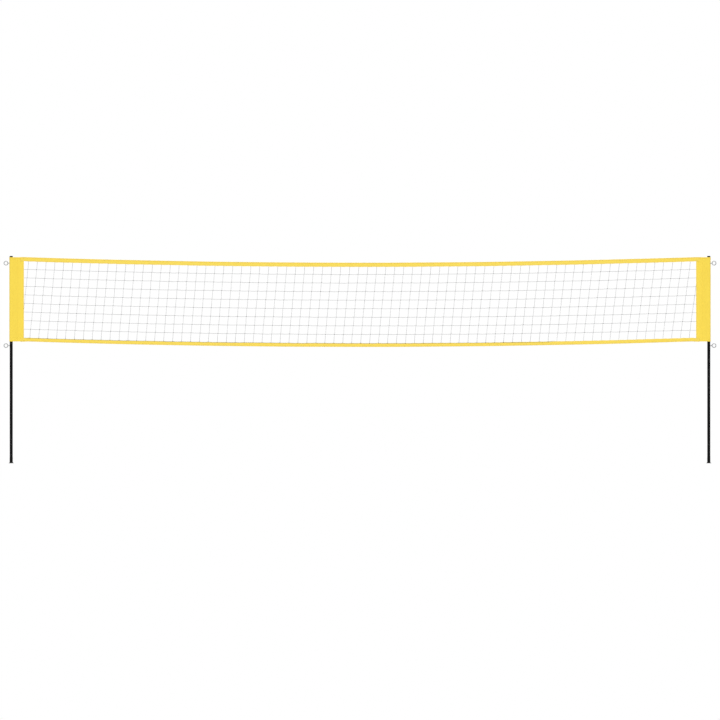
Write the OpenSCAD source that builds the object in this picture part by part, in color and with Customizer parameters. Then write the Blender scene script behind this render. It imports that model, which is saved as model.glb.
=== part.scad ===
// Volleyball net on two push-together steel poles, with guy-rope eye bolts.
// Millimetres. X runs along the net, Y goes through it and Z is up.
// The origin is on the ground, midway between the two poles.

/* [Poles] */
// Distance between the axes of the two poles
pole_gap = 8210; // [6000:10:9500]
// Height of a pole, from the ground to the top of its cap
pole_h = 2440; // [2434:1:2600]
// Outer diameter of the pole tube
pole_d = 36; // [34:1:37]
// Wall of the pole tube
pole_wall = 1.5; // [1:0.1:2]
// Length of the reduced end that plugs into the section below
spigot_l = 75; // [40:5:120]
// Clearance between the reduced end and the bore that it plugs into
spigot_play = 0.3; // [0.2:0.05:0.6]

/* [Feet and caps] */
// Height of the foot that shows below the tube
foot_h = 76; // [60:1:100]
// Diameter of the foot's base
foot_base_d = 57; // [48:1:80]
// Thickness of the foot's base
foot_base_h = 5; // [4:0.5:8]
// Diameter of the cap's head
cap_d = 38.5; // [38:0.5:42]
// Height of the cap's head
cap_h = 12; // [8:1:16]

/* [Net] */
// Height of the net's top edge at the poles
net_top = 2425; // [2400:1:2425]
// Height of the net, from the top edge to the bottom edge
net_h = 992; // [900:1:1010]
// How far the middle of the net hangs below its ends
sag = 66; // [20:1:120]
// Height of the tape along the top
top_tape_h = 50; // [40:1:70]
// Height of the tape along the bottom
bottom_tape_h = 43; // [35:1:60]
// Width of a side band, with the sleeve that goes round the pole
band_w = 171; // [140:1:200]
// Thickness of one layer of the tapes and bands
fabric_t = 1.5; // [1:0.1:2]
// Rows of openings between the tapes
mesh_rows = 6; // [4:1:6]
// Distance between the upright strands of the netting
mesh_pitch = 162; // [162:1:220]
// Sideways lean of the upright strands, per unit of height
mesh_lean = 0.093; // [0:0.001:0.12]
// Width of a strand of the netting
twine_w = 4; // [3:0.5:8]
// Thickness of the netting
twine_t = 2.4; // [2:0.1:3]
// Diameter of the cords inside the tapes
cord_d = 6; // [4:0.5:7]

/* [Eye bolts] */
// Height of the upper eye bolts
upper_eye_z = 2355; // [2200:1:2365]
// Height of the lower eye bolts
lower_eye_z = 1385; // [1000:1:1395]
// Diameter of an eye, through the middle of its wire
eye_d = 45; // [36:1:50]
// Diameter of the eye's wire
eye_wire = 10; // [8:0.5:11]
// Distance from the pole's axis to the middle of the eye
eye_reach = 62; // [60:1:80]
// Diameter of the eye bolt's shank
bolt_d = 10; // [8:0.5:10]

/* [Hidden] */
LEFT = -1;
RIGHT = 1;

$fn = 64;
// Overlap that keeps a cut clear of the face that it starts from
cut = 1;

// Poles: three sections of equal height, with the two joints between them
pole_r = pole_d / 2;
bore_r = pole_r - pole_wall;
pole_half = pole_gap / 2;
tube_top = pole_h - cap_h;
lower_joint_z = pole_h / 3;
upper_joint_z = pole_h * 2 / 3;
spigot_r = bore_r - spigot_play;
// Height of the visible neck where the tube narrows to its reduced end
neck_h = 5;
// The neck rests on the rim of the bore with this much to spare
neck_seat = 0.02;
// Depth below the rim at which the reduced end reaches its own diameter
neck_depth = 3;

// Feet and caps
foot_lip = 0.8;
foot_edge = 1;
foot_collar_r = pole_r + foot_lip;
foot_flare_r = 9;
foot_groove_z = [44, 67];
foot_groove_r = 2;
foot_core_r = 11;
foot_core_z = 14;
plug_play = 0.15;
foot_plug_h = 42;
cap_round = 4;
cap_plug_h = 25;
cap_core_r = 12;
plug_chamfer = 2;

// Net: how its parts lie in each other
sleeve_out = 4;
band_inner = band_w - pole_r - sleeve_out;
sleeve_r = pole_r + sleeve_out;
seam_x = 70;
// The straight sides of the sleeve start this far out along the radius of its round part
sleeve_bite = 0.998;
seam_gap = 0.05;
seam_taper = 5;
mesh_grip = 10;
mouth_x = band_inner - mesh_grip;
slot_half = twine_t / 2;
open_half = pole_half - band_inner;
cord_play = 0.2;
bead_r = cord_d / 2 + cord_play;
// Straight pieces that the hanging line of a tape or cord is made of
sag_spans = 24;
// Straight pieces that the outline of a folded edge is made of
hem_steps = 12;
// A mesh opening narrower than this is left closed
least_opening = 5;
// Edge of the netting that shows between its openings and the tapes
selvedge = 2;

// Eye bolts and what they screw into
thread_play = 0.1;
insert_wall = 1.6;
insert_flange_w = 2;
insert_bulge_w = 1.3;
insert_r = bolt_d / 2 + insert_wall;
insert_flange_r = insert_r + insert_flange_w;
insert_flange_t = 1;
insert_l = 16;
insert_hole_r = insert_r + thread_play;
insert_bulge_r = insert_r + insert_bulge_w;
insert_bulge_t = 3;
insert_bulge_play = 0.3;
eyelet_r = 9;
eyelet_wall = 1;
eyelet_flange_r = 13;
eyelet_flange_t = 0.9;
bolt_end_x = 3;
eye_neck = 2;

// How far the net hangs below its ends at a place along it
function drop(x) = sag * (1 - min(1, pow(x / open_half, 2)));

// Points of an arc in steps of equal angle
function arc(r, from, to, steps) =
    [for (i = [0:steps]) let (a = from + (to - from) * i / steps) [r * cos(a), r * sin(a)]];

// Places a piece at one pole: its own +X points to the middle of the net
module at_pole(side) {
    translate([side * pole_half, 0, 0])
        if (side == LEFT) children();
        else mirror([1, 0, 0]) children();
}

// A bar or a hole along X from one place to another
module along_x(from, to, r) {
    translate([from, 0, 0]) rotate([0, 90, 0]) cylinder(r = r, h = to - from);
}

// ---- Poles ----

// A tube between two heights whose lower end is narrowed to plug into the section below
module plug_in_tube(bottom, top) {
    seat_r = bore_r - neck_seat;
    spigot_end = bottom - spigot_l;
    rotate_extrude()
        polygon([
            [pole_r, top],
            [pole_r, bottom + neck_h],
            [seat_r, bottom],
            [spigot_r, bottom - neck_depth],
            [spigot_r, spigot_end],
            [spigot_r - pole_wall, spigot_end],
            [spigot_r - pole_wall, bottom - neck_depth],
            [seat_r - pole_wall, bottom],
            [bore_r, bottom + neck_h],
            [bore_r, top],
        ]);
}

module insert_hole(z) {
    translate([0, 0, z]) along_x(-pole_r - cut, 0, insert_hole_r);
}

module pole_bottom(side) {
    color("#1a1a1a") at_pole(side)
        difference() {
            translate([0, 0, foot_h]) cylinder(r = pole_r, h = lower_joint_z - foot_h);
            translate([0, 0, foot_h - cut]) cylinder(r = bore_r, h = lower_joint_z);
        }
}

module pole_middle(side) {
    color("#1a1a1a") at_pole(side)
        difference() {
            plug_in_tube(lower_joint_z, upper_joint_z);
            insert_hole(lower_eye_z);
        }
}

module pole_top(side) {
    color("#1a1a1a") at_pole(side)
        difference() {
            plug_in_tube(upper_joint_z, tube_top);
            insert_hole(upper_eye_z);
        }
}

// ---- Feet and caps ----

// Moulded foot: a wide base, a flare, a grooved collar and a hollow plug inside the tube
module foot(side) {
    flare_top = foot_base_h + foot_flare_r;
    plug_r = bore_r - plug_play;
    plug_top = foot_h + foot_plug_h;
    color("#1f1f1f") at_pole(side)
        rotate_extrude()
            difference() {
                union() {
                    polygon([
                        [0, 0],
                        [foot_base_d / 2 - foot_edge, 0],
                        [foot_base_d / 2, foot_edge],
                        [foot_base_d / 2, foot_base_h - foot_edge],
                        [foot_base_d / 2 - foot_edge, foot_base_h],
                        [0, foot_base_h],
                    ]);
                    difference() {
                        square([foot_collar_r + foot_flare_r, flare_top]);
                        translate([foot_collar_r + foot_flare_r, flare_top]) circle(r = foot_flare_r);
                    }
                    square([foot_collar_r, foot_h]);
                    polygon([
                        [0, foot_h - cut],
                        [plug_r, foot_h - cut],
                        [plug_r, plug_top - plug_chamfer],
                        [plug_r - plug_chamfer, plug_top],
                        [0, plug_top],
                    ]);
                }
                for (z = foot_groove_z)
                    translate([foot_collar_r + foot_groove_r / 2, z]) circle(r = foot_groove_r);
                translate([0, foot_core_z]) square([foot_core_r, plug_top]);
            }
}

// Push-in cap: a round-edged head and a hollow plug inside the tube
module top_cap(side) {
    head_r = cap_d / 2;
    plug_r = bore_r - plug_play;
    plug_end = tube_top - cap_plug_h;
    color("#161616") at_pole(side)
        difference() {
            union() {
                translate([0, 0, tube_top]) rotate_extrude() {
                    square([head_r - cap_round, cap_h]);
                    square([head_r, cap_h - cap_round]);
                    translate([head_r - cap_round, cap_h - cap_round]) circle(r = cap_round);
                }
                translate([0, 0, plug_end + plug_chamfer])
                    cylinder(r = plug_r, h = cap_plug_h - plug_chamfer + cut);
                translate([0, 0, plug_end])
                    cylinder(r1 = plug_r - plug_chamfer, r2 = plug_r, h = plug_chamfer);
            }
            translate([0, 0, plug_end - cut])
                cylinder(r = cap_core_r, h = cap_plug_h + 2 * cut);
        }
}

// ---- Eye bolts ----

module eye_bolt(side, z) {
    wire_x = -eye_reach + eye_d / 2;
    shank_r = bolt_d / 2;
    color("#b4b7b8") at_pole(side) translate([0, 0, z]) {
        translate([-eye_reach, 0, 0]) rotate([90, 0, 0])
            rotate_extrude() translate([eye_d / 2, 0]) circle(d = eye_wire);
        along_x(wire_x, -bolt_end_x, shank_r);
        translate([wire_x + cut, 0, 0]) rotate([0, 90, 0])
            cylinder(r1 = shank_r + eye_neck, r2 = shank_r, h = eye_wire);
    }
}

// Blind-rivet nut in the pole's wall: a flange outside, a body and a bulge behind the wall
module thread_insert(side, z) {
    bulge_from = sqrt(pow(bore_r, 2) - pow(insert_bulge_r, 2)) - insert_bulge_play;
    at_pole(side) translate([0, 0, z])
        difference() {
            union() {
                along_x(-pole_r - insert_flange_t, -pole_r, insert_flange_r);
                along_x(-pole_r, -pole_r + insert_l, insert_r);
                along_x(-bulge_from, -bulge_from + insert_bulge_t, insert_bulge_r);
            }
            along_x(-pole_r - insert_l, cut, bolt_d / 2 + thread_play);
        }
}

module thread_inserts(z) {
    color("#c2bfae") for (side = [LEFT, RIGHT]) thread_insert(side, z);
}

// Pressed eyelet, bent to the sleeve, where the upper eye bolt comes through
module sleeve_eyelet(side) {
    barrel_inner = sleeve_r - fabric_t;
    flange_outer = sleeve_r + eyelet_flange_t;
    half_h = eyelet_flange_r + cut;
    color("#b9b29a") at_pole(side) translate([0, 0, upper_eye_z])
        difference() {
            union() {
                intersection() {
                    difference() {
                        cylinder(r = flange_outer, h = 2 * half_h, center = true);
                        cylinder(r = sleeve_r, h = 3 * half_h, center = true);
                    }
                    along_x(-flange_outer - cut, 0, eyelet_flange_r);
                }
                intersection() {
                    difference() {
                        cylinder(r = flange_outer, h = 2 * half_h, center = true);
                        cylinder(r = barrel_inner, h = 3 * half_h, center = true);
                    }
                    along_x(-flange_outer - cut, 0, eyelet_r + eyelet_wall);
                }
            }
            along_x(-flange_outer - 2 * cut, cut, eyelet_r);
        }
}

// ---- Side bands ----

net_bottom = net_top - net_h;

// Where the straight sides of the sleeve leave its round part
function sleeve_side(r, tip) =
    let (lean = acos((r - tip) / seam_x)) r * sleeve_bite * [cos(lean), sin(lean)];

// The sleeve's straight sides, the sewn layers and the mouth that grips the netting
module band_layers() {
    side = sleeve_side(sleeve_r, fabric_t);
    upper = [
        side,
        [seam_x, fabric_t],
        [mouth_x - seam_taper, fabric_t],
        [mouth_x, slot_half + fabric_t],
        [band_inner, slot_half + fabric_t],
    ];
    n = len(upper);
    polygon(concat(upper, [for (i = [n - 1:-1:0]) [upper[i][0], -upper[i][1]]]));
}

// The gap between the sleeve's straight sides, which closes at the seam
module sleeve_gap() {
    side = sleeve_side(sleeve_r - fabric_t, seam_gap);
    polygon([side, [seam_x, seam_gap], [seam_x, -seam_gap], [side[0], -side[1]]]);
}

module net_band(side) {
    low = net_bottom - cut;
    tall = net_h + 2 * cut;
    color("#f8dc54") at_pole(side)
        difference() {
            union() {
                translate([0, 0, net_bottom]) cylinder(r = sleeve_r, h = net_h);
                translate([0, 0, net_bottom]) linear_extrude(net_h) band_layers();
            }
            translate([0, 0, low]) cylinder(r = sleeve_r - fabric_t, h = tall);
            translate([0, 0, low]) linear_extrude(tall) sleeve_gap();
            translate([mouth_x, -slot_half, low]) cube([mesh_grip + cut, 2 * slot_half, tall]);
            translate([0, 0, upper_eye_z])
                along_x(-sleeve_r - cut, 0, eyelet_r + eyelet_wall);
        }
}

// ---- Tapes and cords ----

// Sweeps a closed outline of [y, z] points along the hanging line.
// ends lists the triangles that close the outline, by the numbers of its points.
module sag_sweep(outline, ends) {
    n = len(outline);
    last = sag_spans * n;
    points = [
        for (i = [0:sag_spans])
            let (x = -open_half + 2 * open_half * i / sag_spans)
                for (p = outline) [x, p[0], p[1] + net_top - drop(x)]
    ];
    sides = [
        for (i = [0:sag_spans - 1]) for (j = [0:n - 1])
            let (a = i * n + j, b = i * n + (j + 1) % n)
                each [[a, a + n, b], [b, a + n, b + n]]
    ];
    first_end = [for (t = ends) [t[0], t[1], t[2]]];
    last_end = [for (t = ends) [t[2] + last, t[1] + last, t[0] + last]];
    polyhedron(points = points, faces = concat(sides, first_end, last_end));
}

// One side of a folded tape, from mouth to mouth over the bead that holds the cord.
// spread is how far it lies outside the fold's inner face.
function hem_line(spread, h) =
    let (
        gap = slot_half + spread,
        r = bead_r + spread,
        centre_z = -bead_r - fabric_t,
        neck = asin(gap / r),
        over = arc(r, -90 - neck, -450 + neck, hem_steps)
    )
    concat(
        [[-gap, -h]],
        [for (p = over) [p[0], p[1] + centre_z]],
        [[gap, -h]]
    );

// Outline of a folded tape: the outer line out and the inner line back
function hem_outline(h) =
    let (outer = hem_line(fabric_t, h), inner = hem_line(0, h), n = len(inner))
        concat(outer, [for (i = [n - 1:-1:0]) inner[i]]);

// Triangles between the outer and the inner line of such an outline
function hem_ends(outline) =
    let (n = len(outline), half = n / 2)
        [for (i = [0:half - 2]) each [[i, i + 1, n - 1 - i], [i + 1, n - 2 - i, n - 1 - i]]];

function flipped(outline, h) =
    [for (i = [len(outline) - 1:-1:0]) [outline[i][0], -h - outline[i][1]]];

module top_tape() {
    outline = hem_outline(top_tape_h);
    color("#f3dc5c") sag_sweep(outline, hem_ends(outline));
}

module bottom_tape() {
    outline = flipped(hem_outline(bottom_tape_h), net_h);
    color("#f3dc5c") sag_sweep(outline, hem_ends(outline));
}

module hem_cord(z) {
    sides = 8;
    outline = [for (p = arc(cord_d / 2, 0, -360 + 360 / sides, sides - 1)) [p[0], p[1] + z]];
    color("#e8e4d8") sag_sweep(outline, [for (i = [1:sides - 2]) [0, i, i + 1]]);
}

module headline_cord() {
    hem_cord(-bead_r - fabric_t);
}

module footline_cord() {
    hem_cord(bead_r + fabric_t - net_h);
}

// ---- Netting ----

mesh_top = net_top - top_tape_h;
mesh_h = net_h - top_tape_h - bottom_tape_h;
row_h = mesh_h / mesh_rows;
mesh_columns = ceil(open_half / mesh_pitch) + 1;

// Where an upright strand crosses a height below the top tape, kept between the bands
function strand_x(k, depth) =
    let (x = k * mesh_pitch + mesh_lean * (mesh_h / 2 - depth), end = open_half - selvedge)
        max(-end, min(end, x));

// The four corners of one opening, or fewer where a band cuts it off
function opening(k, row) =
    let (
        above = row * row_h + (row == 0 ? selvedge : twine_w / 2),
        below = (row + 1) * row_h - (row == mesh_rows - 1 ? selvedge : twine_w / 2),
        half_w = twine_w / 2,
        corners = [
            [strand_x(k, above) + half_w, above],
            [strand_x(k + 1, above) - half_w, above],
            [strand_x(k + 1, below) - half_w, below],
            [strand_x(k, below) + half_w, below],
        ]
    )
    [for (c = corners) [c[0], mesh_top - c[1] - drop(c[0])]];

function is_open(o) = min(o[1][0] - o[0][0], o[2][0] - o[3][0]) > least_opening;

openings = [
    for (row = [0:mesh_rows - 1]) for (k = [-mesh_columns:mesh_columns])
        let (o = opening(k, row)) if (is_open(o)) o
];

// Outer edge of the netting, which runs into the mouths of the tapes and bands
function netting_edge() =
    let (
        end = open_half + mesh_grip,
        xs = [for (i = [0:sag_spans]) -end + 2 * end * i / sag_spans],
        top_z = mesh_top + mesh_grip,
        bottom_z = mesh_top - mesh_h - mesh_grip
    )
    concat(
        [for (x = xs) [x, top_z - drop(x)]],
        [for (i = [sag_spans:-1:0]) [xs[i], bottom_z - drop(xs[i])]]
    );

module net_mesh() {
    color("#3a3a3a") translate([0, twine_t / 2, 0]) rotate([90, 0, 0])
        linear_extrude(twine_t)
            difference() {
                polygon(netting_edge());
                for (o = openings) polygon(o);
            }
}

foot(LEFT);  // left_foot
foot(RIGHT);  // right_foot
pole_bottom(LEFT);  // left_pole_bottom
pole_bottom(RIGHT);  // right_pole_bottom
pole_middle(LEFT);  // left_pole_middle
pole_middle(RIGHT);  // right_pole_middle
pole_top(LEFT);  // left_pole_top
pole_top(RIGHT);  // right_pole_top
top_cap(LEFT);  // left_top_cap
top_cap(RIGHT);  // right_top_cap
eye_bolt(LEFT, upper_eye_z);  // left_upper_eye_bolt
eye_bolt(RIGHT, upper_eye_z);  // right_upper_eye_bolt
eye_bolt(LEFT, lower_eye_z);  // left_lower_eye_bolt
eye_bolt(RIGHT, lower_eye_z);  // right_lower_eye_bolt
thread_inserts(upper_eye_z);  // upper_thread_inserts
thread_inserts(lower_eye_z);  // lower_thread_inserts
sleeve_eyelet(LEFT);  // left_sleeve_eyelet
sleeve_eyelet(RIGHT);  // right_sleeve_eyelet
net_band(LEFT);  // left_net_band
net_band(RIGHT);  // right_net_band
top_tape();
bottom_tape();
net_mesh();
headline_cord();
footline_cord();
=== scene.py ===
"""Volleyball net on two push-together poles: knotted netting, folded tapes, sleeved side bands."""

import math
import bpy
import numpy as np
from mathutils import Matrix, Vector, noise


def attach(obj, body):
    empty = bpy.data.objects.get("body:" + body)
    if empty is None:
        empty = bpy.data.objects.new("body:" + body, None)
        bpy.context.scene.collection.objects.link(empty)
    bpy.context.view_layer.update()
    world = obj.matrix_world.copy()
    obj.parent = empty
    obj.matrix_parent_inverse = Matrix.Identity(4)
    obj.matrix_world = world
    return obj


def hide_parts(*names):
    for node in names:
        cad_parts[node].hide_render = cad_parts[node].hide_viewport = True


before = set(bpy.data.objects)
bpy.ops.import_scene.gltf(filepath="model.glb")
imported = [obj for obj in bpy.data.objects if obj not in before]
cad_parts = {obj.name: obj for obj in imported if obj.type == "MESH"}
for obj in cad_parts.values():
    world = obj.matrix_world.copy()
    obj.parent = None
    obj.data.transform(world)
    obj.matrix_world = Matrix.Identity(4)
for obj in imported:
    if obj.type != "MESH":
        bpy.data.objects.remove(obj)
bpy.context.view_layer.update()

# ---- Sizes, in metres ----

POLE_X = 4.105
POLE_TOP = 2.440
NET_TOP = 2.425
NET_H = 0.992
NET_LOW = NET_TOP - NET_H
SAG = 0.066
TOP_TAPE_H = 0.050
BOTTOM_TAPE_H = 0.043
CLOTH = 0.0015
TAPE_RISE = 0.002
TAPE_LAP = 0.040
# The bottom tape dips by this much, over this length, to go under the ends of the side bands
TAPE_DIP = 0.0045
DIP_RUN = 0.05
# How far a tape's faces stand out over the end of a side band, by the distance past that end
LAP_AT = (-0.005, 0.001, 0.010, 0.018)
LAP_OUT = (0, 0.0018, 0.0018, 0.0012)
BAND_IN = 0.149
OPEN_HALF = POLE_X - BAND_IN
SLEEVE_R = 0.022
SEAM_X = 0.070
MOUTH_X = BAND_IN - 0.010
CORD_R = 0.003
# Strands that go each way round the cord, and how far they turn along it, in radians a metre
BRAID_STRANDS = 6
BRAID_RATE = 900.0
BEAD_R = 0.0034
NET_GAP = 0.0014
UPPER_EYE_Z = 2.355
LOWER_EYE_Z = 1.385
EYELET_R = 0.010
WEAVE_PITCH = 0.0011

NET_ROWS = 10
NET_COLUMNS = 78
NET_PITCH = 0.10539
NET_FIRST_X = -3.9435
NET_ROW_H = 0.1004
NET_FIRST_Z = 0.1413
NET_LEAN = 0.00942
NET_MIDDLE = 4.5
NET_SAG = 0.0613
# Length of twine from one strand of it to the next
TWINE_LAY = 0.0034
TWINE_R = 0.00142
# How the netting was pulled off its even grid when it was hung, in metres: sideways in the middle
# of its height and per HALF_ROWS below that, and down per row, as polynomials along the net
HALF_ROWS = 4.0
PULL_MIDDLE = (-0.0115, 0.0122, -0.0028, -0.0259)
PULL_DOWN = (-0.0011, -0.0112, -0.0100, 0.0041)
NET_SLIP = (0.0004, 0.00075, 0.00055)
# How far a knot strays from its place along each axis, and a level strand hangs slack between two knots
STRAY_X = 0.0012
STRAY_Y = 0.0003
STRAY_Z = 0.0010
SLACK = (-0.0030, -0.0002)
# The last level line comes forward over this length from the bands. It slips into the fold of the bottom
# tape in the one pitch that ends at NET_TUCKED_X: it is highest at CLIMB_PEAK of that way, and moves back
# over the tape's edge between the two shares of CLIMB_BACK.
FORWARD_RUN = 0.03
NET_TUCKED_X = 2.32
CLIMB_PEAK = 0.6
CLIMB_BACK = (0.45, 0.85)

NET_BODY = "net_and_tops"


def drop(x):
    """How far the net hangs below its height at the side bands."""
    return SAG * (1 - min(1.0, (x / OPEN_HALF) ** 2))


def tape_edge(x, bottom=False):
    """Height of a tape's outer edge."""
    if not bottom:
        return NET_TOP + TAPE_RISE - drop(x)
    dipped = min(1.0, max(0.0, (abs(x) - OPEN_HALF + DIP_RUN) / DIP_RUN))
    return NET_TOP + TAPE_RISE - NET_H - drop(x) - TAPE_DIP * dipped


def lap(x):
    """How far a tape's faces stand out where the tape is sewn over the end of a side band."""
    return float(np.interp(abs(x) - OPEN_HALF, LAP_AT, LAP_OUT))


# ---- Node trees ----

class Tree:
    """Adds nodes to a tree and joins them. An input may be a value, a socket, or None to leave it."""

    def __init__(self, tree):
        self.tree = tree

    def add(self, kind, *inputs, out=0, **settings):
        node = self.tree.nodes.new(kind)
        named = settings.pop("named", {})
        for key, value in settings.items():
            setattr(node, key, value)
        sockets = [s for s in node.inputs if s.enabled and not s.is_unavailable]
        pairs = list(zip(sockets, inputs)) + [(node.inputs[k], v) for k, v in named.items()]
        for socket, value in pairs:
            if value is None:
                continue
            if isinstance(value, bpy.types.NodeSocket):
                self.tree.links.new(value, socket)
            else:
                socket.default_value = value
        if out is None:
            return node
        outputs = [s for s in node.outputs if s.enabled and not s.is_unavailable]
        return outputs[out] if isinstance(out, int) else node.outputs[out]

    def xyz(self, vector):
        """The three parts of a vector."""
        return self.add("ShaderNodeSeparateXYZ", vector, out=None).outputs[:]


def math_of(tree):
    """A function that adds one Math node to the tree."""
    return lambda op, a, b=None, c=None: tree.add("ShaderNodeMath", a, b, c, operation=op)


def new_tree(name, inputs):
    """A Geometry Nodes tree with the given float or integer inputs, and their sockets by name."""
    group = bpy.data.node_groups.new(name, "GeometryNodeTree")
    group.interface.new_socket("Geometry", in_out="INPUT", socket_type="NodeSocketGeometry")
    for key, value in inputs.items():
        kind = "NodeSocketInt" if isinstance(value, int) else "NodeSocketFloat"
        group.interface.new_socket(key, in_out="INPUT", socket_type=kind)
    group.interface.new_socket("Geometry", in_out="OUTPUT", socket_type="NodeSocketGeometry")
    tree = Tree(group)
    start = tree.add("NodeGroupInput", out=None)
    return tree, {s.name: s for s in start.outputs if s.name}


def finish_tree(tree, geometry, material):
    """Ends a tree with plain, coloured mesh."""
    real = tree.add("GeometryNodeRealizeInstances", geometry)
    smooth = tree.add("GeometryNodeSetShadeSmooth", real)
    coloured = tree.add("GeometryNodeSetMaterial", smooth, None, material)
    tree.add("NodeGroupOutput", coloured, out=None)


def evaluated_mesh(piece):
    """A plain mesh of an object as its modifiers leave it."""
    depsgraph = bpy.context.evaluated_depsgraph_get()
    return bpy.data.meshes.new_from_object(piece.evaluated_get(depsgraph), depsgraph=depsgraph)


def grown(name, mesh, tree, inputs):
    """The plain mesh object that a tree makes from a mesh, with the given values for its inputs."""
    seed = bpy.data.objects.new(name + "_path", mesh)
    bpy.context.scene.collection.objects.link(seed)
    modifier = seed.modifiers.new("nodes", "NODES")
    modifier.node_group = tree.tree
    sockets = {s.name: s.identifier for s in tree.tree.interface.items_tree if s.in_out == "INPUT"}
    for key, value in inputs.items():
        modifier[sockets[key]] = value
    made = evaluated_mesh(seed)
    seed.modifiers.remove(modifier)
    bpy.data.objects.remove(seed)
    return placed(name, made)


def placed(name, mesh):
    """A mesh as an object at the origin."""
    mesh.name = name
    piece = bpy.data.objects.new(name, mesh)
    bpy.context.scene.collection.objects.link(piece)
    return piece


# ---- Shared surface effects ----

def shader_group(name, inputs, outputs):
    """A shader node group: its tree, its inputs' sockets and its outputs' sockets."""
    group = bpy.data.node_groups.new(name, "ShaderNodeTree")
    for key, value in inputs.items():
        socket = group.interface.new_socket(key, in_out="INPUT", socket_type="NodeSocketFloat")
        socket.default_value = value
    for key in outputs:
        group.interface.new_socket(key, in_out="OUTPUT", socket_type="NodeSocketFloat")
    tree = Tree(group)
    start = tree.add("NodeGroupInput", out=None)
    end = tree.add("NodeGroupOutput", out=None)
    return tree, start.outputs, end.inputs


def make_weave():
    """Plain weave on the piece's UV map, which is in metres: thread height and thread-to-thread tone."""
    inputs = {"Thread": WEAVE_PITCH, "Slub": 0.5}
    tree, given, result = shader_group("plain_weave", inputs, ["Height", "Tone"])
    m = math_of(tree)
    place = tree.xyz(tree.add("ShaderNodeUVMap", uv_map="cloth"))
    u = m("DIVIDE", place[0], given["Thread"])
    v = m("DIVIDE", place[1], given["Thread"])
    warp = m("SINE", m("MULTIPLY", u, math.pi))
    weft = m("SINE", m("MULTIPLY", v, math.pi))
    over = m("GREATER_THAN", m("MULTIPLY", warp, weft), 0.0)
    height = tree.add("ShaderNodeMix", over, m("ABSOLUTE", warp), m("ABSOLUTE", weft), data_type="FLOAT")

    def slub(x, y, z):
        """The tone of one thread, which is quick across the threads and slow along them."""
        spot = tree.add("ShaderNodeCombineXYZ", x, y, z)
        tone = tree.add("ShaderNodeTexNoise", spot, named={"Scale": 0.9, "Detail": 1.0})
        return m("SUBTRACT", tone, 0.5)

    slow = 0.02
    warp_slub = slub(m("FLOOR", u), m("MULTIPLY", v, slow), 0.0)
    weft_slub = slub(m("MULTIPLY", u, slow), m("FLOOR", v), 7.0)
    both = m("MULTIPLY", m("ADD", warp_slub, weft_slub), given["Slub"])
    links = tree.tree.links
    links.new(m("ADD", height, both), result["Height"])
    links.new(m("ADD", m("MULTIPLY", both, 0.5), 0.5), result["Tone"])
    return tree.tree


def make_marks():
    """Soft cloudy marks and fine grain on Object coordinates, both from 0 to 1."""
    tree, given, result = shader_group("handling_marks", {"Cloud": 3.0, "Grain": 900.0}, ["Cloudy", "Fine"])
    place = tree.add("ShaderNodeTexCoord", out="Object")
    cloud = tree.add("ShaderNodeTexNoise", place, named={
        "Scale": given["Cloud"], "Detail": 4.0, "Roughness": 0.6})
    fine = tree.add("ShaderNodeTexNoise", place, named={"Scale": given["Grain"], "Detail": 2.0})
    tree.tree.links.new(cloud, result["Cloudy"])
    tree.tree.links.new(fine, result["Fine"])
    return tree.tree


WEAVE = make_weave()
MARKS = make_marks()


# ---- Finishes ----

# How far from a joint the paint is rubbed, and how high dust lies on the feet
RUBBED_H = 0.012
DUST_H = 0.012


def finish_material(name, **settings):
    """A Principled material, its tree and its shader."""
    material = bpy.data.materials.new(name)
    material.use_nodes = True
    tree = Tree(material.node_tree)
    shader = material.node_tree.nodes["Principled BSDF"]
    for key, value in settings.items():
        shader.inputs[key.replace("_", " ")].default_value = value
    return material, tree, shader


def tinted(tree, shader, factor, dark, light, low=0.3, high=0.7):
    """Base colour between two colours by a mask, spread from low to high."""
    spread = tree.add("ShaderNodeMapRange", factor, low, high, 0.0, 1.0)
    mix = tree.add("ShaderNodeMix", data_type="RGBA", out=None)
    mix.inputs[6].default_value = (*dark, 1)
    mix.inputs[7].default_value = (*light, 1)
    tree.tree.links.new(spread, mix.inputs[0])
    tree.tree.links.new(mix.outputs[2], shader.inputs["Base Color"])


def roughened(tree, shader, factor, low, high):
    """Roughness from low to high by the middle half of a mask."""
    rough = tree.add("ShaderNodeMapRange", factor, 0.25, 0.75, low, high)
    tree.tree.links.new(rough, shader.inputs["Roughness"])


def bumped(tree, shader, height, distance, strength=1.0):
    """Bump from a height of 0 to 1 that stands for a distance in metres."""
    bump = tree.add("ShaderNodeBump", out=None)
    bump.inputs["Strength"].default_value = strength
    bump.inputs["Distance"].default_value = distance
    tree.tree.links.new(height, bump.inputs["Height"])
    tree.tree.links.new(bump.outputs["Normal"], shader.inputs["Normal"])


def placed_group(tree, group, **values):
    """The outputs of a shader node group placed with its own values."""
    node = tree.add("ShaderNodeGroup", node_tree=group, out=None)
    for key, value in values.items():
        node.inputs[key].default_value = value
    return node.outputs


def yellow_cloth(name, light, dark):
    """Coated woven polyester: a plain weave under a thin, slightly glossy coat, with soft marks."""
    material, tree, shader = finish_material(name, Roughness=0.6, Specular_IOR_Level=0.35,
                                             Sheen_Weight=0.08, Sheen_Roughness=0.5)
    m = math_of(tree)
    weave = placed_group(tree, WEAVE, Thread=WEAVE_PITCH, Slub=0.5)
    marks = placed_group(tree, MARKS, Cloud=5.0, Grain=700.0)
    tone = m("ADD", m("MULTIPLY", weave["Tone"], 0.6), m("MULTIPLY", marks["Cloudy"], 0.4))
    tinted(tree, shader, tone, dark, light)
    roughened(tree, shader, marks["Cloudy"], 0.55, 0.7)
    bumped(tree, shader, m("ADD", weave["Height"], m("MULTIPLY", marks["Fine"], 0.3)), 0.00025, 0.8)
    return material


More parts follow.
